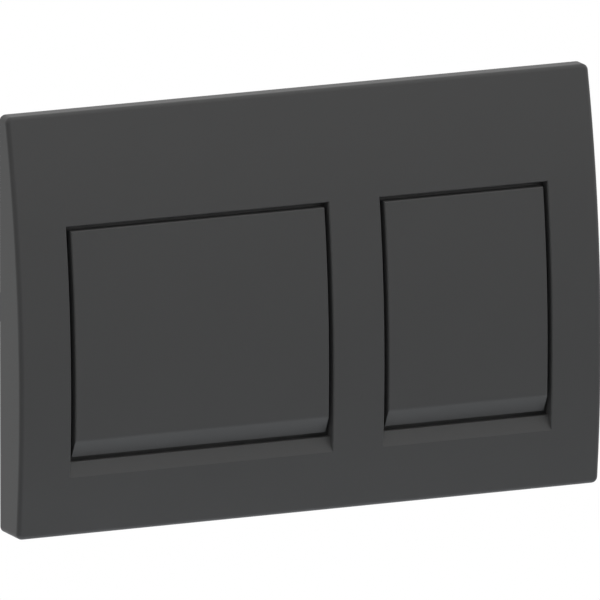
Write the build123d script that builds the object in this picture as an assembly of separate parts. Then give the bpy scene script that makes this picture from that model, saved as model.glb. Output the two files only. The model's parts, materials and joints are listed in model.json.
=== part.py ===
from build123d import *
import os
from math import sqrt

# Dual-flush actuator plate for a concealed cistern.
# Frame: origin at the middle of the plate on the wall plane, +X to the right, +Y into the wall, +Z up.
# All lengths are millimetres and all angles are degrees.

# Cover plate, outer form
plate_width = 245.7
plate_height = 163.6
crown_depth = 19.4
crown_rise = 54.9
top_depth = 6.5
front_round = 1.75
corner_round = 2.5
cover_wall = 2.4

# Openings in the cover, with the finger groove under each
side_band = 21.3
middle_bar = 21.6
full_opening_width = 110.4
upper_band = 42.88
lower_band = 28.85
collar_wall = 1.8
collar_depth = 5.0
top_collar_depth = 3.6
groove_height = 5.65
groove_depth = 2.6

# Buttons
button_gap = 1.85
upper_gap = 1.95
lower_gap = 1.7
button_face = 2.2
skirt_wall = 2.0
skirt_depth = 7.0
lip_height = 6.85
lip_depth = 3.5
edge_break = 0.35
rib_wall = 1.4
rib_depth = 3.0

# Hinge at the top of each button
hinge_rise = 7.58
hinge_drop = 6.8
pin_radius = 1.5
pin_clearance = 0.05
pin_overhang = 1.0
knuckle_radius = 2.9
knuckle_length = 14.0
ear_inset = 3.0
ear_length = 4.0
ear_radius = 3.2
ear_gap = 0.8
ear_throat = 2.5
flange_drop = 4.2
flange_wall = 2.0
flange_clearance = 1.6

# Side wings of each button, behind the opening's collars
wing_gap = 0.6
wing_lap = 1.2

# Stop ledge at the bottom of each button, with its rubber buffers
stop_gap = 0.3
buffer_wall = 1.5
buffer_width = 8.0
buffer_height = 3.2
landing_width = 10.0
landing_inset = 12.0
landing_rise = 0.3
ledge_wall = 2.2
ledge_reach = 4.4

# Push rods
rod_radius = 4.0
rod_offset = 42.0
rod_rise = 27.75
rod_end = 60.0
head_radius = 10.0
head_wall = 3.0
head_standoff = 4.0
nut_width = 12.0
nut_length = 3.5
thread_clearance = 0.05
tongue_radius = 5.0
tongue_width = 10.0
contact_gap = 0.3

# Rod guides and return springs
guide_radius = 6.5
guide_clearance = 0.06
guide_seat_clearance = 0.05
guide_flange_radius = 9.5
guide_flange_wall = 1.5
guide_tail = 4.0
spring_wire = 1.0
spring_radius = 8.0
spring_turns = 4.5
spring_steps = 8
spring_wire_sides = 6
spring_gap = 0.3

# Mounting frame
frame_inset = 5.0
frame_inset_z = 11.0
frame_wall = 2.5
frame_depth = 12.5
window_clearance = 0.95
window_rise = 14.5
window_fall = 7.9
rim_setback = 3.0
rim_wall = 2.0
bridge_wall = 2.5
bridge_height = 20.0
post_width = 12.0
frame_corner_round = 6.0

# Snap hooks of the cover in the frame's window
clip_width = 14.0
clip_wall = 1.8
clip_gap = 0.3
clip_nose = 1.2
clip_nose_length = 2.8
clip_catch_gap = 0.2

# Distance bolts and clamp nuts
bolt_edge = 6.8
bolt_shank_radius = 4.0
bolt_hole_clearance = 0.3
bolt_boss_radius = 7.3
bolt_boss_tail = 8.0
bolt_collar_width = 14.0
bolt_collar_wall = 3.0
bolt_collar_clearance = 0.5
bolt_stud_radius = 5.0
bolt_end = 58.0
bolt_lead = 1.5
bolt_front = 1.5
clamp_nut_width = 13.0
clamp_nut_length = 6.0
driver_slot_width = 1.6
driver_slot_depth = 1.2

# Stiffening ribs inside the cover
cover_rib_wall = 1.4
cover_rib_floor = 4.5
cover_rib_clearance = 1.5
cover_rib_count = 6
side_rib_rise = 26.0

# Places worked out from the sizes above
half_width = plate_width / 2
half_height = plate_height / 2
half_opening_width = plate_width - 2 * side_band - middle_bar - full_opening_width
full_opening = (side_band - half_width, side_band - half_width + full_opening_width)
half_opening = (half_width - side_band - half_opening_width, half_width - side_band)
bar_x = (full_opening[1] + half_opening[0]) / 2
opening_top = half_height - upper_band
opening_bottom = lower_band - half_height
crown_z = crown_rise - half_height
crown_fall = crown_depth - top_depth
crown_radius = ((half_height - crown_z) ** 2 + crown_fall**2) / (2 * crown_fall)
crown_centre_y = crown_radius - crown_depth
button_top = opening_top - upper_gap
button_bottom = opening_bottom + lower_gap
groove_foot = opening_bottom - groove_height
margin = crown_depth


def crown_y(z, sink=0.0):
    """Y of the crown at height z, or of a surface sunk behind it by a constant depth."""
    return crown_centre_y - sqrt((crown_radius - sink) ** 2 - (z - crown_z) ** 2)


pivot_z = opening_top + hinge_rise
pivot_y = crown_y(pivot_z, hinge_drop)
flange_top = pivot_z - ear_radius - flange_clearance
rod_z = button_bottom + rod_rise
full_rod_x = bar_x - rod_offset
half_rod_x = bar_x + rod_offset
landing_y = crown_y(opening_bottom, groove_depth + cover_wall) + landing_rise
ledge_front_y = landing_y + stop_gap + buffer_wall
ledge_bottom = opening_bottom - ledge_reach
window_half = half_width - side_band + wing_lap + window_clearance
window_top = pivot_z + window_rise
window_bottom = opening_bottom - window_fall
bolt_x = window_half + bolt_edge
bridge_y = frame_depth - bridge_wall
guide_front_y = bridge_y - guide_flange_wall
head_back_y = -head_standoff
head_front_y = head_back_y - head_wall


def block(x, y, z):
    """Box between two limits on each axis."""
    size = Box(x[1] - x[0], y[1] - y[0], z[1] - z[0])
    return Pos((x[0] + x[1]) / 2, (y[0] + y[1]) / 2, (z[0] + z[1]) / 2) * size


def prism(points, x):
    """Polygon of (y, z) points carried along X."""
    outline = make_face(Polyline(*points, close=True))
    return extrude(Plane.YZ.offset(x[0]) * outline, x[1] - x[0])


def crown_arc(z, sink):
    """Arc of the crown, sunk by a constant depth, between two heights."""
    middle = (z[0] + z[1]) / 2
    return ThreePointArc(*[(crown_y(at, sink), at) for at in (z[0], middle, z[1])])


def crown_block(x, z, sink, back_y):
    """Block with a crowned front and a flat back."""
    front = crown_arc(z, sink)
    back = Polyline(front @ 1, (back_y, z[1]), (back_y, z[0]), front @ 0)
    return extrude(Plane.YZ.offset(x[0]) * make_face(front + back), x[1] - x[0])


def crown_layer(x, z, sink, back_sink):
    """Sheet between two depths behind the crown."""
    front = crown_arc(z, sink)
    back = crown_arc(z, back_sink)
    sides = Line(front @ 0, back @ 0) + Line(front @ 1, back @ 1)
    return extrude(Plane.YZ.offset(x[0]) * make_face(front + back + sides), x[1] - x[0])


def bar_along_x(radius, x, y, z):
    """Round bar along X."""
    return extrude(Plane.YZ.offset(x[0]) * Pos(y, z) * Circle(radius), x[1] - x[0])


def bar_along_y(radius, x, y, z):
    """Round bar along Y."""
    return extrude(Plane((x, y[0], z), (1, 0, 0), (0, 1, 0)) * Circle(radius), y[1] - y[0])


def hex_along_y(width, x, y, z):
    """Six-sided bar along Y, with two flats upright."""
    outline = RegularPolygon(width / 2, 6, major_radius=False, rotation=30)
    return extrude(Plane((x, y[0], z), (1, 0, 0), (0, 1, 0)) * outline, y[1] - y[0])


def centred(middle, width):
    """Limits of a width about its middle."""
    return (middle - width / 2, middle + width / 2)


def middle_of(span):
    """Middle of two limits."""
    return (span[0] + span[1]) / 2


def button_span(opening):
    """Limits of the button that fills an opening."""
    return (opening[0] + button_gap, opening[1] - button_gap)


def both_ends(span, inset, length):
    """Two stretches of a span, each at the same inset from its end."""
    low = (span[0] + inset, span[0] + inset + length)
    high = (span[1] - inset - length, span[1] - inset)
    return (low, high)


def ears(opening):
    """X limits of the two hinge ears behind an opening's top edge."""
    return both_ends(button_span(opening), ear_inset, ear_length)


def knuckles(opening):
    """X limits of the two button knuckles, just inside the ears."""
    return both_ends(button_span(opening), ear_inset + ear_length + ear_gap, knuckle_length)


def landings(opening):
    """X limits of the two landings that a button's stop ledge comes back to."""
    return both_ends(button_span(opening), landing_inset, landing_width)


openings = (full_opening, half_opening)
clip_middles = [middle_of(opening) for opening in openings]


def cover_shell():
    """Block under the crown, rounded in front and hollow behind, with the rims of its openings broken."""
    outline = RectangleRounded(plate_width, plate_height, corner_round)
    across = (-half_width, half_width)
    upright = (-half_height, half_height)
    body = extrude(Plane.XZ * outline, crown_depth + margin) & crown_block(across, upright, 0, 0)
    crown = body.faces().filter_by(GeomType.CYLINDER).sort_by(SortBy.AREA)[-1]
    body = fillet(crown.edges(), front_round)
    inner_x = half_width - cover_wall
    inner_z = half_height - cover_wall
    body -= crown_block((-inner_x, inner_x), (-inner_z, inner_z), cover_wall, 0)
    for opening in openings:
        body -= block(opening, (-crown_depth - margin, margin), (groove_foot, opening_top))
    crown = body.faces().filter_by(GeomType.CYLINDER).sort_by(SortBy.AREA)[-1]
    rims = [wire.edges().sort_by(Axis.Z)[1:] for wire in crown.inner_wires()]
    return chamfer([edge for rim in rims for edge in rim], edge_break)


def groove_pocket(opening):
    """Wall of the finger groove, whose slope runs out on the crown."""
    x = (opening[0] - collar_wall, opening[1] + collar_wall)
    deep_y = crown_y(opening_bottom, groove_depth)
    back_y = crown_y(opening_bottom, groove_depth + cover_wall)
    slope = [(crown_y(groove_foot), groove_foot), (deep_y, opening_bottom)]
    foot_z = groove_foot - cover_wall / 2
    foot = [(crown_y(foot_z, cover_wall), foot_z), (crown_y(foot_z, cover_wall / 2), foot_z)]
    return prism(slope + [(back_y, opening_bottom)] + foot, x)


def groove_cut(opening):
    """Triangular finger groove that runs out on the crown."""
    deep = (crown_y(opening_bottom, groove_depth), opening_bottom)
    shallow = (crown_y(groove_foot), groove_foot)
    front_y = -crown_depth - margin
    return prism([shallow, deep, (front_y, opening_bottom), (front_y, groove_foot)], opening)


def opening_collars(opening):
    """Walls round an opening, lower at its top edge where the button's flange runs."""
    sink = cover_wall / 2
    left = (opening[0] - collar_wall, opening[0])
    right = (opening[1], opening[1] + collar_wall)
    upright = (opening_bottom, opening_top)
    top = (opening_top, opening_top + collar_wall)
    across = (left[0], right[1])
    sides = [crown_layer(x, upright, sink, collar_depth) for x in (left, right)]
    return sides + [crown_layer(across, top, sink, top_collar_depth), groove_pocket(opening)]


def hinge_ears(opening):
    """Snap bearings for the hinge pin, open towards the wall."""
    solids = []
    for x in ears(opening):
        ear = crown_block(x, centred(pivot_z, 2 * ear_radius), cover_wall / 2, pivot_y)
        ear += bar_along_x(ear_radius, x, pivot_y, pivot_z)
        ear -= bar_along_x(pin_radius, x, pivot_y, pivot_z)
        ear -= block(x, (pivot_y, pivot_y + 2 * ear_radius), centred(pivot_z, ear_throat))
        solids.append(ear)
    return solids


def stop_landings(opening):
    """Ribs behind the finger groove that the button's stop ledge comes back to."""
    z = (ledge_bottom, opening_bottom)
    return [crown_block(x, z, cover_wall / 2, landing_y) for x in landings(opening)]


def snap_hook(middle, edge_z, outward):
    """Blade with a nose that catches behind the frame's flange at a window edge."""
    x = centred(middle, clip_width)
    outer_z = edge_z - outward * clip_gap
    inner_z = outer_z - outward * clip_wall
    z = (min(outer_z, inner_z), max(outer_z, inner_z))
    nose_end = clip_catch_gap + clip_nose_length
    blade = crown_block(x, z, cover_wall / 2, nose_end)
    nose_z = outer_z + outward * clip_nose
    return blade + prism([(clip_catch_gap, inner_z), (clip_catch_gap, nose_z), (nose_end, inner_z)], x)


def cover_ribs():
    """Upright ribs along the top and bottom bands and level ones along the side bands."""
    sink = cover_wall / 2
    top = (pivot_z + ear_radius + cover_rib_clearance, window_top - clip_gap - clip_wall)
    bottom = (sink - half_height, groove_foot - sink)
    step = (plate_width - side_band) / cover_rib_count
    solids = []
    for place in range(cover_rib_count):
        x = centred((place + 1 / 2 - cover_rib_count / 2) * step, cover_rib_wall)
        solids.append(crown_block(x, bottom, sink, -cover_rib_floor))
        solids.append(crown_block(x, top, sink, -cover_rib_floor))
    for x in ((sink - half_width, -window_half), (window_half, half_width - sink)):
        for middle in (-side_rib_rise, side_rib_rise):
            solids.append(crown_block(x, centred(middle, cover_rib_wall), sink, -cover_rib_floor))
    return solids


def cover_plate():
    """The moulded front with everything that hangs on its back."""
    body = cover_shell()
    for opening in openings:
        for solid in opening_collars(opening) + hinge_ears(opening) + stop_landings(opening):
            body += solid
    for middle in clip_middles:
        body += snap_hook(middle, window_top, 1)
        body += snap_hook(middle, window_bottom, -1)
    for solid in cover_ribs():
        body += solid
    for opening in openings:
        body -= block(opening, (-crown_depth - margin, margin), (opening_bottom, opening_top))
        body -= groove_cut(opening)
    return body


def lip_cut(x, shift):
    """Everything in front of the lip's chamfer, moved back by a shift."""
    top_z = button_bottom + lip_height
    top = Vector(crown_y(top_z), top_z)
    foot = Vector(crown_y(button_bottom, lip_depth), button_bottom)
    along = foot - top
    inward = Vector(-along.Y, along.X).normalized() * shift
    start = top - along + inward
    end = foot + along + inward
    front_y = -crown_depth - margin
    corners = [start, end, Vector(front_y, end.Y), Vector(front_y, start.Y)]
    return prism([(corner.X, corner.Y) for corner in corners], x)


def button_cap(opening):
    """Crowned face with its skirt and the chamfered lower lip."""
    x = button_span(opening)
    upright = (button_bottom, button_top)
    body = crown_layer(x, upright, 0, skirt_depth) - lip_cut(x, 0)
    crown = body.faces().filter_by(GeomType.CYLINDER).sort_by(Axis.Y)[0]
    body = chamfer(crown.edges(), edge_break)
    inner_x = (x[0] + skirt_wall, x[1] - skirt_wall)
    inner_z = (button_bottom + skirt_wall, button_top - skirt_wall)
    room = crown_layer(inner_x, inner_z, button_face, skirt_depth + margin / 2)
    return body - (room - lip_cut(x, button_face))


def button_hinge(opening):
    """Flange behind the opening's top edge, with the knuckles on the pin."""
    back_sink = flange_drop + flange_wall
    low_z = button_top - skirt_wall
    solids = [crown_layer(button_span(opening), (low_z, flange_top), flange_drop, back_sink)]
    for x in knuckles(opening):
        solids.append(crown_layer(x, (low_z, pivot_z), flange_drop, back_sink))
        solids.append(bar_along_x(knuckle_radius, x, pivot_y, pivot_z))
    return solids


def button_ribs(opening, rod_x):
    """Cross of ribs on the back of the face, and the rounded tongue that pushes the rod."""
    x = button_span(opening)
    inner_x = (x[0] + skirt_wall / 2, x[1] - skirt_wall / 2)
    inner_z = (button_bottom + lip_height, button_top - skirt_wall / 2)
    sink = button_face / 2
    back_sink = button_face + rib_depth
    level = crown_layer(inner_x, centred(rod_z, rib_wall), sink, back_sink)
    upright = [
        crown_layer(centred(middle, rib_wall), inner_z, sink, back_sink)
        for middle in (middle_of((x[0], rod_x)), rod_x, middle_of((rod_x, x[1])))
    ]
    tongue_y = head_front_y - contact_gap - tongue_radius
    tongue_x = centred(rod_x, tongue_width)
    tongue = crown_block(tongue_x, centred(rod_z, 2 * tongue_radius), sink, tongue_y)
    tongue += bar_along_x(tongue_radius, tongue_x, tongue_y, rod_z)
    return [level, tongue] + upright


def wing_span(opening):
    """X limits of a button's wings, which lap behind the opening's collars."""
    return (opening[0] - wing_lap, opening[1] + wing_lap)


def stop_ledge(opening):
    """Ledge that reaches down behind the opening's lower edge."""
    back_y = ledge_front_y + ledge_wall
    arm_front_y = crown_y(button_bottom, lip_depth + skirt_wall)
    arm = block(button_span(opening), (arm_front_y, back_y), (button_bottom, button_bottom + skirt_wall))
    leg = block(wing_span(opening), (ledge_front_y, back_y), (ledge_bottom, button_bottom + skirt_wall))
    return [arm, leg]


def side_wings(opening):
    """Wings on the skirt that close the side gaps from behind."""
    inner = button_span(opening)
    outer = wing_span(opening)
    upright = (button_bottom, flange_top)
    sink = collar_depth + wing_gap
    sides = ((outer[0], inner[0] + skirt_wall), (inner[1] - skirt_wall, outer[1]))
    return [crown_layer(x, upright, sink, skirt_depth) for x in sides]


def flush_button(opening, rod_x):
    """One button with its hinge, ribs, tongue, wings and stop ledge."""
    body = button_cap(opening)
    for solid in button_hinge(opening) + button_ribs(opening, rod_x):
        body += solid
    for solid in side_wings(opening) + stop_ledge(opening):
        body += solid
    for x in knuckles(opening):
        body -= bar_along_x(pin_radius + pin_clearance, x, pivot_y, pivot_z)
    return body


def hinge_pin(opening):
    """Steel pin through both knuckles, snapped into the cover's ears."""
    low, high = ears(opening)
    return bar_along_x(pin_radius, (low[0] - pin_overhang, high[1] + pin_overhang), pivot_y, pivot_z)


def button_buffers(opening):
    """Rubber pads on the front of the stop ledge."""
    y = (ledge_front_y - buffer_wall, ledge_front_y)
    z = (ledge_bottom, ledge_bottom + buffer_height)
    pads = [block(centred(middle_of(x), buffer_width), y, z) for x in landings(opening)]
    return Compound(children=pads)


def mounting_frame():
    """Flange on the wall, rim in the wall opening, and a bridge and post behind the buttons."""
    outer_width = plate_width - 2 * frame_inset
    outer_height = plate_height - 2 * frame_inset_z
    outline = RectangleRounded(outer_width, outer_height, frame_corner_round)
    body = extrude(Plane.XZ * outline, frame_wall)
    rim_in_x = window_half + rim_setback
    rim_in_z = (window_bottom - rim_setback, window_top + rim_setback)
    rim_out_x = rim_in_x + rim_wall
    rim_out_z = (rim_in_z[0] - rim_wall, rim_in_z[1] + rim_wall)
    body += block((-rim_out_x, rim_out_x), (-frame_wall, frame_depth), rim_out_z)
    body -= block((-rim_in_x, rim_in_x), (0, frame_depth), rim_in_z)
    for x in (-bolt_x, bolt_x):
        body += bar_along_y(bolt_boss_radius, x, (-frame_wall, bolt_boss_tail), 0)
    window_z = (window_bottom, window_top)
    body -= block((-window_half, window_half), (-frame_wall, frame_depth), window_z)
    back = (bridge_y, frame_depth)
    across = (-rim_in_x - rim_wall / 2, rim_in_x + rim_wall / 2)
    upright = (rim_in_z[0] - rim_wall / 2, rim_in_z[1] + rim_wall / 2)
    body += block(across, back, centred(rod_z, bridge_height))
    body += block(centred(bar_x, post_width), back, upright)
    for x in (full_rod_x, half_rod_x):
        body -= bar_along_y(guide_radius + guide_seat_clearance, x, back, rod_z)
    for x in (-bolt_x, bolt_x):
        hole = (-frame_wall, bolt_boss_tail)
        seat = (bolt_boss_tail, frame_depth)
        body -= bar_along_y(bolt_shank_radius + bolt_hole_clearance, x, hole, 0)
        body -= bar_along_y(bolt_collar_width / sqrt(3) + bolt_collar_clearance, x, seat, 0)
    return body


def distance_bolt(x):
    """Shank through the frame, collar behind it, and the stud that goes to the cistern housing."""
    front_y = -frame_wall - clamp_nut_length - bolt_front
    collar_back = bolt_boss_tail + bolt_collar_wall
    body = bar_along_y(bolt_shank_radius, x, (front_y, bolt_boss_tail), 0)
    body += hex_along_y(bolt_collar_width, x, (bolt_boss_tail, collar_back), 0)
    body += bar_along_y(bolt_stud_radius, x, (collar_back, bolt_end), 0)
    body = chamfer(body.edges().filter_by(GeomType.CIRCLE).sort_by(Axis.Y)[-1], bolt_lead)
    slot_x = centred(x, 2 * bolt_shank_radius)
    slot_y = (front_y, front_y + driver_slot_depth)
    return body - block(slot_x, slot_y, centred(0, driver_slot_width))


def clamp_nut(x):
    """Nut that clamps the frame against the bolt's collar."""
    y = (-frame_wall - clamp_nut_length, -frame_wall)
    return hex_along_y(clamp_nut_width, x, y, 0) - bar_along_y(bolt_shank_radius + thread_clearance, x, y, 0)


def rod_guide(x):
    """Flanged bush in the bridge."""
    front = (guide_front_y, bridge_y)
    body = bar_along_y(guide_flange_radius, x, front, rod_z)
    body += bar_along_y(guide_radius, x, (bridge_y, frame_depth + guide_tail), rod_z)
    through = (guide_front_y, frame_depth + guide_tail)
    return body - bar_along_y(rod_radius + guide_clearance, x, through, rod_z)


def push_rod(x):
    """Rod from the head's socket to the cistern's lever."""
    front_y = head_front_y + head_wall / 2 + thread_clearance
    return bar_along_y(rod_radius, x, (front_y, rod_end), rod_z)


def rod_head(x):
    """Disc with a socket for the rod."""
    socket = (head_front_y + head_wall / 2, head_back_y)
    body = bar_along_y(head_radius, x, (head_front_y, head_back_y), rod_z)
    return body - bar_along_y(rod_radius + thread_clearance, x, socket, rod_z)


def rod_lock_nut(x):
    """Nut that locks the head on the rod."""
    y = (head_back_y, head_back_y + nut_length)
    return hex_along_y(nut_width, x, y, rod_z) - bar_along_y(rod_radius + thread_clearance, x, y, rod_z)


def return_spring(x):
    """Coil between the head and the guide's flange."""
    low_y = head_back_y + spring_gap + spring_wire / 2
    high_y = guide_front_y - spring_gap - spring_wire / 2
    steps = round(spring_turns * spring_steps)
    points = []
    for step in range(steps + 1):
        turn = Vector(spring_radius, 0, 0).rotate(Axis.Y, step * 360 / spring_steps)
        points.append(Vector(x, low_y + (high_y - low_y) * step / steps, rod_z) + turn)
    path = Polyline(*points)
    wire = Plane(path @ 0, z_dir=path % 0) * RegularPolygon(spring_wire / 2, spring_wire_sides)
    return sweep(wire, path=path, transition=Transition.RIGHT)


nodes = {
    "cover_plate": cover_plate(),
    "mounting_frame": mounting_frame(),
    "distance_bolts": Compound(children=[distance_bolt(-bolt_x), distance_bolt(bolt_x)]),
    "clamp_nuts": Compound(children=[clamp_nut(-bolt_x), clamp_nut(bolt_x)]),
}
for side, opening, rod_x in (("full", full_opening, full_rod_x), ("half", half_opening, half_rod_x)):
    nodes[side + "_flush_button"] = flush_button(opening, rod_x)
    nodes[side + "_hinge_pin"] = hinge_pin(opening)
    nodes[side + "_button_buffers"] = button_buffers(opening)
    nodes[side + "_rod_guide"] = rod_guide(rod_x)
    nodes[side + "_push_rod"] = push_rod(rod_x)
    nodes[side + "_rod_head"] = rod_head(rod_x)
    nodes[side + "_rod_lock_nut"] = rod_lock_nut(rod_x)
    nodes[side + "_return_spring"] = return_spring(rod_x)

os.makedirs("parts", exist_ok=True)
for name, shape in nodes.items():
    export_step(shape, os.path.join("parts", name + ".step"))
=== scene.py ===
# %% [markdown]
# # A flush button plate, dressed for a studio picture
# The plate is a crowned cover with two hinged buttons. Behind it are a wall frame, two distance bolts
# and two sprung push rods. The solids come from the CAD model and are loaded as a fixed frame, in metres,
# with +X to the right, +Y into the wall and +Z up. The big mouldings keep their CAD surfaces. What the CAD
# model leaves plain, the threads, the coil springs and the chamfered nuts, is worked out here with numpy.

# %% Load the fixed frame
import json
import math

import bpy
import bmesh
import numpy as np
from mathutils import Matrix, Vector


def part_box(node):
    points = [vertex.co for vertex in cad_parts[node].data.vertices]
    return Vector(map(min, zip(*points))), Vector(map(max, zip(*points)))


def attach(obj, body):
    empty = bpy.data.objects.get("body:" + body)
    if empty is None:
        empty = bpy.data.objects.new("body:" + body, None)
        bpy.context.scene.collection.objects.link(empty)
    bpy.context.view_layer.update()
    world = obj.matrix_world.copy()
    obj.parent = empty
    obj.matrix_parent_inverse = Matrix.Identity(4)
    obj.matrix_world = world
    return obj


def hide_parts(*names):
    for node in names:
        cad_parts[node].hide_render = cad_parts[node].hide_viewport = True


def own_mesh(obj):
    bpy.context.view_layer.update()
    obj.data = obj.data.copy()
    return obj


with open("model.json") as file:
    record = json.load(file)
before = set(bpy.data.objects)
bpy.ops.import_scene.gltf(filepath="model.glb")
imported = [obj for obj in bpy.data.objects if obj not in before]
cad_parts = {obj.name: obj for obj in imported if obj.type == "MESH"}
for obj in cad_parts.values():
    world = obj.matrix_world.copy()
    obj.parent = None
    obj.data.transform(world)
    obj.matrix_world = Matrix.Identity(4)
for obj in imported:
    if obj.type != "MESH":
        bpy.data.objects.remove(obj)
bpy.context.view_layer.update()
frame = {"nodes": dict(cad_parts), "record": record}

# %% [markdown]
# ## One way to make every new piece
# A turned, coiled or threaded piece is a grid of points: rows along the piece and columns round it. Each cell
# of the grid is one face. Rows may shrink to a single point at an end, and the last column may lie on the
# first, shifted or not. Welding the points that coincide then closes poles and seams alike, so one helper
# does for rods, nuts, bolts and springs.

# %% Mesh from grids of points
WELD = 2e-6
SHARP = math.radians(32)


def grid_faces(grid):
    """Corner numbers of every cell of a grid of points, rows by columns."""
    rows, columns = grid.shape[:2]
    number = np.arange(rows * columns).reshape(rows, columns)
    corners = (number[:-1, :-1], number[:-1, 1:], number[1:, 1:], number[1:, :-1])
    return np.stack(corners, axis=-1).reshape(-1, 4)


def make_piece(name, points, faces):
    """Welded object from points and faces, turned outwards, smooth but for its sharp edges."""
    mesh = bpy.data.meshes.new(name)
    mesh.from_pydata(points.reshape(-1, 3).tolist(), [], faces.tolist())
    work = bmesh.new()
    work.from_mesh(mesh)
    bmesh.ops.remove_doubles(work, verts=work.verts, dist=WELD)
    bmesh.ops.dissolve_degenerate(work, edges=work.edges, dist=WELD)
    bmesh.ops.recalc_face_normals(work, faces=work.faces)
    work.to_mesh(mesh)
    work.free()
    mesh.shade_smooth()
    mesh.set_sharp_from_angle(angle=SHARP)
    made = bpy.data.objects.new(name, mesh)
    bpy.context.scene.collection.objects.link(made)
    print(name, "has", len(mesh.vertices), "points and", len(mesh.polygons), "faces")
    return made


# %% [markdown]
# ## Round pieces behind the plate
# Everything that is turned or coiled here lies along Y, straight into the wall. So a place on it is a distance
# along Y, a radius and a turn angle, and its centre line is read from the box of the CAD node it stands for.

# %% Places round an axis
def around(y, r, turn, centre):
    """Points at distance y along the axis and r from it, at each turn angle, about a centre line along Y."""
    x = centre[0] + r * np.cos(turn)
    z = centre[1] + r * np.sin(turn)
    return np.stack([x, y + np.zeros_like(x), z], axis=-1)


def axis_of(node):
    """Centre line of a round node along Y: its X and Z, its two ends and its radius, in metres."""
    low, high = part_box(node)
    middle = (low + high) / 2
    return (middle.x, middle.z), (low.y, high.y), (high.x - low.x) / 2


for side in ("full", "half"):
    print(side, "push rod's centre, ends and radius:", axis_of(side + "_push_rod"))

# %% [markdown]
# ## Return springs
# Each rod is pushed back by a compression spring of round wire. Its end turns lie almost flat, so that it
# bears evenly on the rod's head and on the guide's flange. A curve with a bevel would give the same coil, but
# the formula of a helix is short, and the pitch can be eased at the ends. The spring stays on the plate.

# %% Two coil springs
WIRE_RADIUS = 0.0005
COIL_RADIUS = 0.008
SPRING_TURNS = 4.5
END_TURNS = 0.9
END_PITCH = 0.35
COIL_STEPS = 260
WIRE_SIDES = 16


def coil(centre, ends):
    """Helix tube: the wire's centre goes round at a fixed radius and rises by a pitch that is small on the
    end turns, and a small circle goes round the wire at each step. The wire's two ends shrink to a point."""
    turns = np.linspace(0, SPRING_TURNS, COIL_STEPS)
    inward = np.minimum(turns, SPRING_TURNS - turns) / END_TURNS
    pitch = END_PITCH + (1 - END_PITCH) * np.clip(inward, 0, 1) ** 2
    rise = np.concatenate([[0], np.cumsum((pitch[1:] + pitch[:-1]) / 2)])
    y = ends[0] + WIRE_RADIUS + (ends[1] - ends[0] - 2 * WIRE_RADIUS) * rise / rise[-1]
    angle = -2 * math.pi * turns
    outward = np.stack([np.cos(angle), np.zeros_like(angle), np.sin(angle)], axis=-1)
    path = np.array([centre[0], 0, centre[1]]) + COIL_RADIUS * outward + y[:, None] * np.array([0, 1, 0])
    along = np.gradient(path, axis=0)
    along /= np.linalg.norm(along, axis=1, keepdims=True)
    across = np.cross(along, outward)
    ring = np.linspace(0, 2 * math.pi, WIRE_SIDES + 1)
    circle = outward[:, None] * np.cos(ring)[:, None] + across[:, None] * np.sin(ring)[:, None]
    tube = path[:, None] + WIRE_RADIUS * circle
    start = np.broadcast_to(path[:1, None], tube[:1].shape)
    end = np.broadcast_to(path[-1:, None], tube[:1].shape)
    return np.concatenate([start, tube, end])


springs = []
for side in ("full", "half"):
    centre, ends, _ = axis_of(side + "_return_spring")
    grid = coil(centre, ends)
    spring = make_piece(side + "_coil_spring", grid, grid_faces(grid))
    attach(spring, "plate")
    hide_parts(side + "_return_spring")
    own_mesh(spring)
    springs.append(spring)

# %% [markdown]
# ## Threads
# The push rods and the distance bolts are threaded, so that their length can be set to the depth of the wall.
# A thread could be a texture, but its teeth show on the outline of a rod. Here the rows of the grid climb by
# one pitch per turn, so that each crest is one clean line of edges. Where a row would leave the thread's
# length it is held at the end, and the tooth fades to nothing there. The tooth is given by its corners: their
# places along the pitch, and their heights from root to crest.

# %% Thread rows
TOOTH = np.array([[0.0, 0.0], [0.16, 0.0], [0.5, 1.0], [0.66, 1.0]])


def thread_rows(ends, root, crest, pitch, turn):
    """Distances and radii of a thread: every row is a fixed place on the tooth, lifted by the pitch for each
    full turn and held between the two ends, and the radius goes from root to crest with the tooth's height
    times a fade that reaches zero at both ends."""
    count = int(math.ceil((ends[1] - ends[0]) / pitch)) + 2
    place = (np.arange(-2, count)[:, None] + TOOTH[:, 0]).ravel()
    height = np.tile(TOOTH[:, 1], count + 2)
    y = ends[0] + pitch * (place[:, None] + turn[None] / (2 * math.pi))
    y = np.clip(y, ends[0], ends[1])
    fade = np.clip(np.minimum(y - ends[0], ends[1] - y) / pitch, 0, 1)
    r = root + (crest - root) * height[:, None] * fade
    return y, r


def plain_rows(stations, turn):
    """Distances and radii of plain turned rows, one for each (distance, radius) pair."""
    pairs = np.array(stations)
    return np.repeat(pairs[:, :1], turn.size, axis=1), np.repeat(pairs[:, 1:], turn.size, axis=1)


def stack_rows(*parts):
    """Rows of several parts, one after another."""
    return np.concatenate([y for y, r in parts]), np.concatenate([r for y, r in parts])


print("rows for each turn of a thread:", len(TOOTH))

# %% [markdown]
# ## Push rods
# A push rod is a plastic bar with a fine thread over its whole length: the head screws on in front, the lock
# nut holds it, and the rear end is cut to reach the cistern's lever. Both ends have a small lead.

# %% Two threaded push rods
ROD_COLUMNS = 48
ROD_PITCH = 0.0015
ROD_TOOTH = 0.00045
ROD_LEAD = 0.0008


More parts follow.
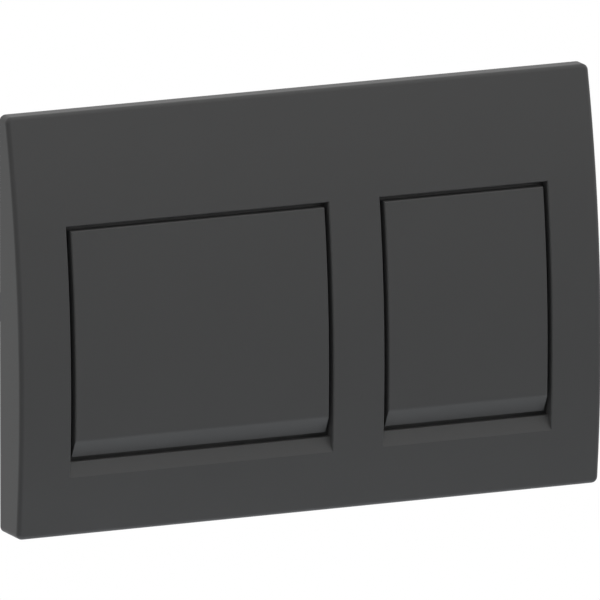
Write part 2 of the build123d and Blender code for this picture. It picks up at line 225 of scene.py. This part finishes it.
def threaded_rod(centre, ends, radius):
    """Bar turned about Y: a point, a lead cone, the thread, a lead cone and a point."""
    turn = np.linspace(0, 2 * math.pi, ROD_COLUMNS + 1)
    root = radius - ROD_TOOTH
    neck = root - ROD_LEAD / 2
    inner = (ends[0] + ROD_LEAD, ends[1] - ROD_LEAD)
    front = plain_rows([(ends[0], 0), (ends[0], neck)], turn)
    thread = thread_rows(inner, root, radius, ROD_PITCH, turn)
    rear = plain_rows([(ends[1], neck), (ends[1], 0)], turn)
    y, r = stack_rows(front, thread, rear)
    return around(y, r, turn, centre)


rods = []
for side in ("full", "half"):
    grid = threaded_rod(*axis_of(side + "_push_rod"))
    rod = make_piece(side + "_threaded_rod", grid, grid_faces(grid))
    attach(rod, side + "_rod")
    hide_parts(side + "_push_rod")
    rods.append(rod)

# %% [markdown]
# ## Nuts
# A nut is a hexagon whose corners are turned off by a cone at both faces, which leaves the curved lines that
# every real nut has. As a formula that is simple: at each angle the radius is the smaller of the hexagon's
# and the cone's. The rows run over the outside and back through the bore, so the surface closes on itself.

# %% Hexagons and nuts
HEX_STEP = math.pi / 3
CONE_SLOPE = 1.7
CONE_ROWS = 5
NUT_COLUMNS = 96
NUT_BORE = 0.00405
BORE_LEAD = 0.0004


def hexagon(flat, turn):
    """Radius of a hexagon at each angle: half its width across flats, over the cosine of the angle from the
    nearest flat's middle. Two of its flats face along X."""
    return flat / 2 / np.cos((turn + HEX_STEP / 2) % HEX_STEP - HEX_STEP / 2)


def hex_rows(ends, flat, turn):
    """Rows of a hexagonal bar with coned faces: the smaller of the hexagon's radius and of a cone that starts
    at the flat's half width on each face and widens inwards."""
    corner = flat / math.sqrt(3)
    depth = (corner - flat / 2) / CONE_SLOPE
    inward = np.linspace(0, depth, CONE_ROWS)
    y = np.concatenate([ends[0] + inward, ends[1] - inward[::-1]])
    cone = flat / 2 + CONE_SLOPE * np.concatenate([inward, inward[::-1]])
    r = np.minimum(hexagon(flat, turn)[None], cone[:, None])
    return np.repeat(y[:, None], turn.size, axis=1), r


def nut(centre, ends, flat):
    """Hexagonal bar with a plain bore: over the coned outside, in over the rear face, and back through the
    bore to where it began."""
    turn = np.linspace(0, 2 * math.pi, NUT_COLUMNS + 1)
    outside = hex_rows(ends, flat, turn)
    mouth = NUT_BORE + BORE_LEAD
    inner = [(ends[1], mouth), (ends[1] - BORE_LEAD, NUT_BORE)]
    inner += [(ends[0] + BORE_LEAD, NUT_BORE), (ends[0], mouth)]
    inside = plain_rows(inner, turn)
    first = (outside[0][:1], outside[1][:1])
    y, r = stack_rows(outside, inside, first)
    return around(y, r, turn, centre)


# %% Two lock nuts
LOCK_FLAT = 0.012

nuts = []
for side in ("full", "half"):
    centre, ends, _ = axis_of(side + "_rod_lock_nut")
    grid = nut(centre, ends, LOCK_FLAT)
    lock = make_piece(side + "_lock_nut", grid, grid_faces(grid))
    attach(lock, side + "_rod")
    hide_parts(side + "_rod_lock_nut")
    nuts.append(lock)

# %% [markdown]
# ## Clamp nuts
# Two larger nuts clamp the frame on its bolts, one at each side. They are one node in the CAD model, so their
# two grids become one piece here. The box of that node gives the height and the distance of the bolts.

# %% A pair of clamp nuts
CLAMP_FLAT = 0.013

clamp_low, clamp_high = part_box("clamp_nuts")
bolt_x = clamp_high.x - CLAMP_FLAT / 2
bolt_z = (clamp_low.z + clamp_high.z) / 2
clamp_ends = (clamp_low.y, clamp_high.y)
clamp_pair = np.stack([nut((x, bolt_z), clamp_ends, CLAMP_FLAT) for x in (-bolt_x, bolt_x)])
one_clamp = grid_faces(clamp_pair[0])
clamp_faces = np.concatenate([one_clamp, one_clamp + clamp_pair[0][..., 0].size])
clamps = make_piece("frame_clamp_nuts", clamp_pair, clamp_faces)
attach(clamps, "plate")
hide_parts("clamp_nuts")
nuts.append(clamps)

# %% [markdown]
# ## Distance bolts
# A distance bolt holds the frame off the cistern's housing: a plain shank goes through the frame, a hexagonal
# collar stops behind it, and a coarse stud goes back into the housing. A slot across the front takes a
# screwdriver. The columns of the grid lie closer where the slot cuts the rim, and they are doubled at its
# edges, once at the rim and once at the slot's floor. The front is then closed by strips that join each
# column to its mirror image, and the doubled columns become the slot's two walls.

# %% Columns round a slotted bolt
SHANK_RADIUS = 0.004
SLOT_HALF = 0.0008
SLOT_DEPTH = 0.0012
SLOT_COLUMNS = 5
SIDE_COLUMNS = 15

slot_edge = math.asin(SLOT_HALF / SHANK_RADIUS)
below = np.linspace(-math.pi / 2, -slot_edge, SIDE_COLUMNS)
within = np.linspace(-slot_edge, slot_edge, SLOT_COLUMNS)
right_turn = np.concatenate([below, within, -below[::-1]])
bolt_turn = np.concatenate([right_turn, math.pi - right_turn[::-1]])
sunk_half = np.concatenate([0 * below, 0 * within + SLOT_DEPTH, 0 * below])
bolt_sunk = np.concatenate([sunk_half, sunk_half[::-1]])
print("columns round a bolt:", bolt_turn.size, "and in its slot:", int(np.sum(bolt_sunk > 0)))

# %% Two distance bolts
COLLAR_FLAT = 0.014
COLLAR_FRONT = 0.008
COLLAR_WALL = 0.003
STUD_RADIUS = 0.005
STUD_PITCH = 0.0026
STUD_TOOTH = 0.0008
STUD_LEAD = 0.0015
STUD_NECK = 0.0012


def bolt_rows(ends):
    """Rows of the bolt from its front rim: the shank, sunk where the slot is, the coned collar, a short neck,
    the stud's thread and its lead cone."""
    collar = (COLLAR_FRONT, COLLAR_FRONT + COLLAR_WALL)
    root = STUD_RADIUS - STUD_TOOTH
    thread_ends = (collar[1] + STUD_NECK, ends[1] - STUD_LEAD)
    rim = (ends[0] + bolt_sunk[None], SHANK_RADIUS + 0 * bolt_sunk[None])
    shank = plain_rows([(ends[0] + 2 * SLOT_DEPTH, SHANK_RADIUS), (collar[0], SHANK_RADIUS)], bolt_turn)
    head = hex_rows(collar, COLLAR_FLAT, bolt_turn)
    neck = plain_rows([(collar[1], STUD_RADIUS), (collar[1] + STUD_NECK / 2, STUD_RADIUS)], bolt_turn)
    thread = thread_rows(thread_ends, root, STUD_RADIUS, STUD_PITCH, bolt_turn)
    lead = plain_rows([(ends[1], STUD_RADIUS - STUD_LEAD), (ends[1], 0)], bolt_turn)
    return stack_rows(rim, shank, head, neck, thread, lead)


bolt_low, bolt_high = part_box("distance_bolts")
bolt_y, bolt_r = bolt_rows((bolt_low.y, bolt_high.y))
bolt_pair = np.stack([around(bolt_y, bolt_r, bolt_turn, (x, bolt_z)) for x in (-bolt_x, bolt_x)])
strip = np.arange(right_turn.size - 1)
mirror = bolt_turn.size - 1 - strip
front_faces = np.stack([strip, mirror, mirror - 1, strip + 1], axis=-1)
one_bolt = np.concatenate([grid_faces(bolt_pair[0]), front_faces])
bolt_faces = np.concatenate([one_bolt, one_bolt + bolt_y.size])
bolts = make_piece("threaded_distance_bolts", bolt_pair, bolt_faces)
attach(bolts, "plate")
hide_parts("distance_bolts")

# %% [markdown]
# ## Small node helpers
# A material is a graph of nodes. Most of the graphs here are sums on numbers and colours, so a few helpers that
# add one node each, and give back its output, make the graphs read like formulas.

# %% Groups, noise and sums
FLOAT = "NodeSocketFloat"
COLOUR = "NodeSocketColor"
VECTOR = "NodeSocketVector"


def new_group(name, inputs, outputs):
    """Empty shader group with named sockets, and its two end nodes."""
    tree = bpy.data.node_groups.new(name, "ShaderNodeTree")
    for label, kind in inputs:
        tree.interface.new_socket(label, in_out="INPUT", socket_type=kind)
    for label, kind in outputs:
        tree.interface.new_socket(label, in_out="OUTPUT", socket_type=kind)
    return tree, tree.nodes.new("NodeGroupInput"), tree.nodes.new("NodeGroupOutput")


def add_noise(tree, place, scale, detail):
    """Noise texture at a place, with its scale given as a number or as a socket."""
    noise = tree.nodes.new("ShaderNodeTexNoise")
    noise.inputs["Detail"].default_value = detail
    tree.links.new(place, noise.inputs["Vector"])
    if isinstance(scale, (int, float)):
        noise.inputs["Scale"].default_value = scale
    else:
        tree.links.new(scale, noise.inputs["Scale"])
    return noise.outputs["Fac"]


def add_math(tree, operation, *values):
    """Math node on numbers or sockets."""
    node = tree.nodes.new("ShaderNodeMath")
    node.operation = operation
    for socket, value in zip(node.inputs, values):
        if isinstance(value, (int, float)):
            socket.default_value = value
        else:
            tree.links.new(value, socket)
    return node.outputs["Value"]


def spread_round(tree, noise, middle, spread):
    """A value that goes from middle - spread to middle + spread with a noise from 0 to 1."""
    swing = add_math(tree, "MULTIPLY_ADD", noise, 2, -1)
    return add_math(tree, "MULTIPLY_ADD", swing, spread, middle)


def tint(tree, colour, amount):
    """A colour times a value."""
    node = tree.nodes.new("ShaderNodeVectorMath")
    node.operation = "SCALE"
    tree.links.new(colour, node.inputs["Vector"])
    tree.links.new(amount, node.inputs["Scale"])
    return node.outputs["Vector"]


# %% [markdown]
# ## Shared effects
# Every moulding has two things in common: a colour that is never quite even, and a fine texture that the tool
# leaves on it. Drawn steel has fine lines along its length instead. Each effect is one node group, so that a
# material only says how much of it there is. The groups give colours, roughness and heights. The shaders
# themselves stay in the materials.

# %% Moulded and drawn surfaces
DRIFT_SCALE = 35.0
DRIFT_DETAIL = 3.0
GRAIN_DETAIL = 2.0
LINE_DETAIL = 4.0
LINE_SHADE = 0.95
LINE_SPREAD = 0.1


def moulded_group():
    """Colour that drifts over centimetres, and a fine tool texture that moves the roughness and the height."""
    inputs = [("Vector", VECTOR), ("Colour", COLOUR), ("Drift", FLOAT), ("Grain", FLOAT)]
    inputs += [("Roughness", FLOAT), ("Texture", FLOAT)]
    outputs = [("Colour", COLOUR), ("Roughness", FLOAT), ("Height", FLOAT)]
    tree, given, result = new_group("moulded_surface", inputs, outputs)
    place = given.outputs["Vector"]
    drift = add_noise(tree, place, DRIFT_SCALE, DRIFT_DETAIL)
    grain = add_noise(tree, place, given.outputs["Grain"], GRAIN_DETAIL)
    shade = spread_round(tree, drift, 1.0, given.outputs["Drift"])
    rough = spread_round(tree, grain, given.outputs["Roughness"], given.outputs["Texture"])
    tree.links.new(tint(tree, given.outputs["Colour"], shade), result.inputs["Colour"])
    tree.links.new(rough, result.inputs["Roughness"])
    tree.links.new(grain, result.inputs["Height"])
    return tree


def drawn_group():
    """Fine lines along a drawn bar: noise on a place that is squeezed along the bar, moving colour,
    roughness and height."""
    inputs = [("Vector", VECTOR), ("Colour", COLOUR), ("Lines", FLOAT), ("Roughness", FLOAT)]
    outputs = [("Colour", COLOUR), ("Roughness", FLOAT), ("Height", FLOAT)]
    tree, given, result = new_group("drawn_surface", inputs, outputs)
    lines = add_noise(tree, given.outputs["Vector"], given.outputs["Lines"], LINE_DETAIL)
    shade = spread_round(tree, lines, LINE_SHADE, LINE_SPREAD)
    rough = spread_round(tree, lines, given.outputs["Roughness"], LINE_SPREAD)
    tree.links.new(tint(tree, given.outputs["Colour"], shade), result.inputs["Colour"])
    tree.links.new(rough, result.inputs["Roughness"])
    tree.links.new(lines, result.inputs["Height"])
    return tree


moulded = moulded_group()
drawn = drawn_group()
print("groups:", moulded.name, drawn.name)

# %% [markdown]
# ## Finishes
# Each finish is a Principled shader whose base colour, roughness and normal come from one of the groups. What
# is the same all over, such as the specular level, is set on the shader itself. The pattern reads Object
# coordinates, in metres, so it stays on its piece when the piece moves. A stretch squeezes the pattern along
# one axis, which turns the spots of a noise into lines.

# %% Material from a group
EVEN = (1, 1, 1)
ALONG_X = (0.02, 1, 1)


def surface_material(name, group, values, stretch, bump, specular):
    """Principled material whose colour, roughness and bump come from a shared group. Bump is its strength and
    its height in metres."""
    made = bpy.data.materials.new(name)
    made.use_nodes = True
    tree = made.node_tree
    shader = tree.nodes["Principled BSDF"]
    shader.inputs["Specular IOR Level"].default_value = specular
    place = tree.nodes.new("ShaderNodeTexCoord")
    mapping = tree.nodes.new("ShaderNodeMapping")
    mapping.inputs["Scale"].default_value = stretch
    effect = tree.nodes.new("ShaderNodeGroup")
    effect.node_tree = group
    for label, value in values.items():
        effect.inputs[label].default_value = value
    height = tree.nodes.new("ShaderNodeBump")
    height.inputs["Strength"].default_value = bump[0]
    height.inputs["Distance"].default_value = bump[1]
    tree.links.new(place.outputs["Object"], mapping.inputs["Vector"])
    tree.links.new(mapping.outputs["Vector"], effect.inputs["Vector"])
    tree.links.new(effect.outputs["Colour"], shader.inputs["Base Color"])
    tree.links.new(effect.outputs["Roughness"], shader.inputs["Roughness"])
    tree.links.new(effect.outputs["Height"], height.inputs["Height"])
    tree.links.new(height.outputs["Normal"], shader.inputs["Normal"])
    return made


# %% [markdown]
# ## Plastics and rubber
# The cover and the buttons are a matte anthracite moulding with a very fine grain. The frame is a plain grey
# one, the bolts and nuts are filled nylon with a coarser look, the rods are smooth natural acetal, and the
# pads are soft black rubber. They differ only in numbers, so one function makes them all.

# %% Five moulded finishes
def moulding(name, colour, roughness, specular, drift, grain, texture, bump):
    """Moulded plastic or rubber: drift and texture are how far colour and roughness stray, and grain is in
    features per metre."""
    values = {"Colour": (*colour, 1), "Drift": drift, "Grain": grain}
    values |= {"Roughness": roughness, "Texture": texture}
    made = surface_material(name, moulded, values, EVEN, bump, specular)
    print("finish:", made.name)
    return made


cover_finish = moulding(
    "anthracite_moulding", (0.059, 0.059, 0.059), roughness=0.5, specular=0.28,
    drift=0.03, grain=2600.0, texture=0.05, bump=(0.06, 0.00004),
)
frame_finish = moulding(
    "grey_moulding", (0.30, 0.31, 0.32), roughness=0.5, specular=0.4,
    drift=0.05, grain=1500.0, texture=0.08, bump=(0.15, 0.00005),
)
nylon_finish = moulding(
    "filled_nylon", (0.06, 0.06, 0.064), roughness=0.45, specular=0.4,
    drift=0.12, grain=3200.0, texture=0.12, bump=(0.2, 0.00004),
)
acetal_finish = moulding(
    "natural_acetal", (0.70, 0.69, 0.64), roughness=0.36, specular=0.5,
    drift=0.03, grain=1800.0, texture=0.06, bump=(0.08, 0.00003),
)
rubber_finish = moulding(
    "buffer_rubber", (0.02, 0.02, 0.02), roughness=0.8, specular=0.3,
    drift=0.15, grain=3000.0, texture=0.1, bump=(0.3, 0.00006),
)

# %% [markdown]
# ## Steel
# The hinge pins and the springs are drawn stainless steel. On a pin the drawing lines run along X. The wire of
# a spring turns all ways, so its pattern is left even.

# %% Two drawn steels
STEEL_COLOUR = (0.58, 0.575, 0.56, 1)
STEEL_LINES = 4000.0
STEEL_ROUGHNESS = 0.3
STEEL_BUMP = (0.15, 0.00002)
STEEL_SPECULAR = 0.5


def drawn_steel(name, stretch):
    """Drawn stainless steel with its lines along the squeezed axis."""
    values = {"Colour": STEEL_COLOUR, "Lines": STEEL_LINES, "Roughness": STEEL_ROUGHNESS}
    made = surface_material(name, drawn, values, stretch, STEEL_BUMP, STEEL_SPECULAR)
    made.node_tree.nodes["Principled BSDF"].inputs["Metallic"].default_value = 1
    print("finish:", made.name)
    return made


pin_finish = drawn_steel("drawn_pin_steel", ALONG_X)
wire_finish = drawn_steel("drawn_spring_wire", EVEN)

# %% [markdown]
# ## Every piece gets its finish
# The record names a material slot for each CAD node, so a table from slot to finish dresses them all. The new
# pieces have no material yet, and each kind is given its own.

# %% Dress nodes and pieces
slot_finish = {
    "cover_plastic": cover_finish,
    "frame_plastic": frame_finish,
    "bolt_plastic": nylon_finish,
    "rod_plastic": acetal_finish,
    "steel": pin_finish,
    "rubber": rubber_finish,
}
for subpart in frame["record"]["subparts"]:
    for slot in frame["nodes"][subpart["node"]].material_slots:
        slot.material = slot_finish[subpart["material_slot"]]

piece_finish = [(springs, wire_finish), (rods, acetal_finish), (nuts + [bolts], nylon_finish)]
for pieces, finish in piece_finish:
    for piece in pieces:
        piece.data.materials.append(finish)
    print(finish.name, "on", [piece.name for piece in pieces])

# %% [markdown]
# ## Floor
# The plate hangs on a wall, so it floats well above a plain pale floor, and its shadow falls out of the
# picture. The floor is a matte square that is lit like everything else. Where the camera or a reflection shows
# it, a little white is added, so that it joins the white of the surroundings.

# %% Pale floor
FLOOR_DROP = 0.8
FLOOR_HALF = 0.9
FLOOR_COLOUR = (0.85, 0.86, 0.88, 1)
FLOOR_ROUGHNESS = 0.9
FLOOR_WHITE = 0.1
WHITE = (1, 1, 1, 1)


def any_ray(tree, kinds):
    """1 where a ray is of any of these kinds, and 0 elsewhere."""
    path = tree.nodes.new("ShaderNodeLightPath")
    total = path.outputs[kinds[0]]
    for kind in kinds[1:]:
        total = add_math(tree, "MAXIMUM", total, path.outputs[kind])
    return total


def pale_floor():
    """One large square under the plate."""
    corners = np.array([[-1, -1, 0], [1, -1, 0], [1, 1, 0], [-1, 1, 0]]) * FLOOR_HALF
    corners[:, 2] = -FLOOR_DROP
    mesh = bpy.data.meshes.new("pale_floor")
    mesh.from_pydata(corners.tolist(), [], [[0, 1, 2, 3]])
    made = bpy.data.objects.new("pale_floor", mesh)
    bpy.context.scene.collection.objects.link(made)
    finish = bpy.data.materials.new("pale_floor")
    finish.use_nodes = True
    tree = finish.node_tree
    shader = tree.nodes["Principled BSDF"]
    shader.inputs["Base Color"].default_value = FLOOR_COLOUR
    shader.inputs["Roughness"].default_value = FLOOR_ROUGHNESS
    shader.inputs["Specular IOR Level"].default_value = 0.0
    shader.inputs["Emission Color"].default_value = WHITE
    seen = any_ray(tree, ("Is Camera Ray", "Is Glossy Ray", "Is Transmission Ray"))
    tree.links.new(add_math(tree, "MULTIPLY", seen, FLOOR_WHITE), shader.inputs["Emission Strength"])
    mesh.materials.append(finish)


pale_floor()
print("floor at", -FLOOR_DROP, "m")

# %% [markdown]
# ## Surroundings
# The world is white where it is seen or mirrored, and gives no light of its own. In front, where the
# photographer stands, a studio is dark: the gloss shows that as a dark band a little below the horizon. Most of
# the face mirrors it, while the upper part of the cover, the lips and the sides look past it and are lighter.
# Heights and depths are those of a direction of length 1.

# %% White world
BAND_CENTRE = -0.38
BAND_EDGE = (0.32, 0.46)
FRONT_EDGE = 0.1


def add_ramp(tree, value, low, high):
    """Value that goes from 0 at low to 1 at high, and stays there. Low may be the larger of the two."""
    node = tree.nodes.new("ShaderNodeMapRange")
    node.inputs["From Min"].default_value = low
    node.inputs["From Max"].default_value = high
    tree.links.new(value, node.inputs["Value"])
    return node.outputs["Result"]


def white_world():
    """White for every ray that shows it, with the dark band in front for the gloss alone."""
    made = bpy.data.worlds.new("white_surround")
    made.use_nodes = True
    tree = made.node_tree
    light = tree.nodes["Background"]
    light.inputs["Color"].default_value = WHITE
    place = tree.nodes.new("ShaderNodeTexCoord")
    direction = tree.nodes.new("ShaderNodeSeparateXYZ")
    tree.links.new(place.outputs["Generated"], direction.inputs["Vector"])
    off_centre = add_math(tree, "ABSOLUTE", add_math(tree, "SUBTRACT", direction.outputs["Z"], BAND_CENTRE))
    level = add_ramp(tree, off_centre, BAND_EDGE[1], BAND_EDGE[0])
    ahead = add_ramp(tree, direction.outputs["Y"], FRONT_EDGE, -FRONT_EDGE)
    mirrored = add_math(tree, "SUBTRACT", 1.0, add_math(tree, "MULTIPLY", level, ahead))
    gloss = add_math(tree, "MULTIPLY", any_ray(tree, ("Is Glossy Ray",)), mirrored)
    seen = any_ray(tree, ("Is Camera Ray", "Is Transmission Ray"))
    tree.links.new(add_math(tree, "MAXIMUM", seen, gloss), light.inputs["Strength"])
    bpy.context.scene.world = made


white_world()
print("world:", bpy.context.scene.world.name)

# %% [markdown]
# ## Light
# Broad soft suns give the light: a main one far round on the right, which grazes the face, weak ones overhead,
# in front and on the left, and one behind for the works. Each has an azimuth round from the front, an elevation
# and the width of its disc, in degrees, and a level of white: at level 1 a white surface that faces the sun is
# shown as white. A cool panel on the floor lights the lips of the buttons, which face down. The white
# surroundings stand for all the lamps in the gloss, so the lamps are left out of it.

# %% Suns and floor panel
SUNS = {
    "overhead": (0, 80, 50, 0.35),
    "high": (0, 60, 50, 0.08),
    "left": (-90, 20, 60, 0.1),
    "front_left": (-45, 12, 50, 0.21),
    "front_right": (70, 15, 60, 0.77),
    "behind": (180, 30, 60, 0.47),
}
PANEL_PLACE = Vector((0, -0.22, 0.01 - FLOOR_DROP))
PANEL_SIZE = 0.9
PANEL_POWER = 6.0
PANEL_COLOUR = (0.88, 0.94, 1.0)


def add_light(name, data):
    """Light object in the scene, left out of reflections."""
    made = bpy.data.objects.new(name, data)
    made.visible_glossy = False
    bpy.context.scene.collection.objects.link(made)
    return made


def soft_sun(name, azimuth, elevation, angle, level):
    """Sun with a wide disc, from an azimuth round from the front and an elevation, in degrees."""
    data = bpy.data.lights.new(name, "SUN")
    data.energy = level * math.pi
    data.angle = math.radians(angle)
    made = add_light(name, data)
    made.rotation_euler = (math.radians(90 - elevation), 0, math.radians(azimuth))


def floor_panel():
    """Glowing square on the floor, a little in front of the plate and turned up."""
    data = bpy.data.lights.new("floor_panel", "AREA")
    data.size = PANEL_SIZE
    data.energy = PANEL_POWER
    data.color = PANEL_COLOUR
    made = add_light("floor_panel", data)
    made.location = PANEL_PLACE
    made.rotation_euler = (math.pi, 0, 0)


for name, setting in SUNS.items():
    soft_sun(name, *setting)
floor_panel()
print("lights:", [light.name for light in bpy.data.lights])

# %% [markdown]
# ## Camera
# The photograph's edges are almost parallel, so it was taken with a long lens from far away, from the left
# and a little above. The camera is aimed at a point just right of the plate's middle and below it, as the
# photograph is framed.

# %% Camera
VIEW_AZIMUTH = math.radians(-24.55)
VIEW_ELEVATION = math.radians(12.23)
VIEW_WIDTH = 0.23073
AIM_RIGHT = 0.00314
AIM_DOWN = 0.00158
LENS = 1690.0
SENSOR = 36.0

back = Vector((
    math.sin(VIEW_AZIMUTH) * math.cos(VIEW_ELEVATION),
    -math.cos(VIEW_AZIMUTH) * math.cos(VIEW_ELEVATION),
    math.sin(VIEW_ELEVATION),
))
right = Vector((math.cos(VIEW_AZIMUTH), math.sin(VIEW_AZIMUTH), 0))
up = back.cross(right)
aim = right * AIM_RIGHT - up * AIM_DOWN
distance = VIEW_WIDTH * LENS / SENSOR

camera_data = bpy.data.cameras.new("photo_camera")
camera_data.lens = LENS
camera_data.sensor_width = SENSOR
camera_data.clip_end = 3 * distance
camera = bpy.data.objects.new("photo_camera", camera_data)
camera.location = aim + back * distance
camera.rotation_euler = back.to_track_quat("Z", "Y").to_euler()
bpy.context.scene.collection.objects.link(camera)
bpy.context.scene.camera = camera
bpy.context.scene.view_settings.view_transform = "Standard"
print("camera is", round(distance, 2), "m away")
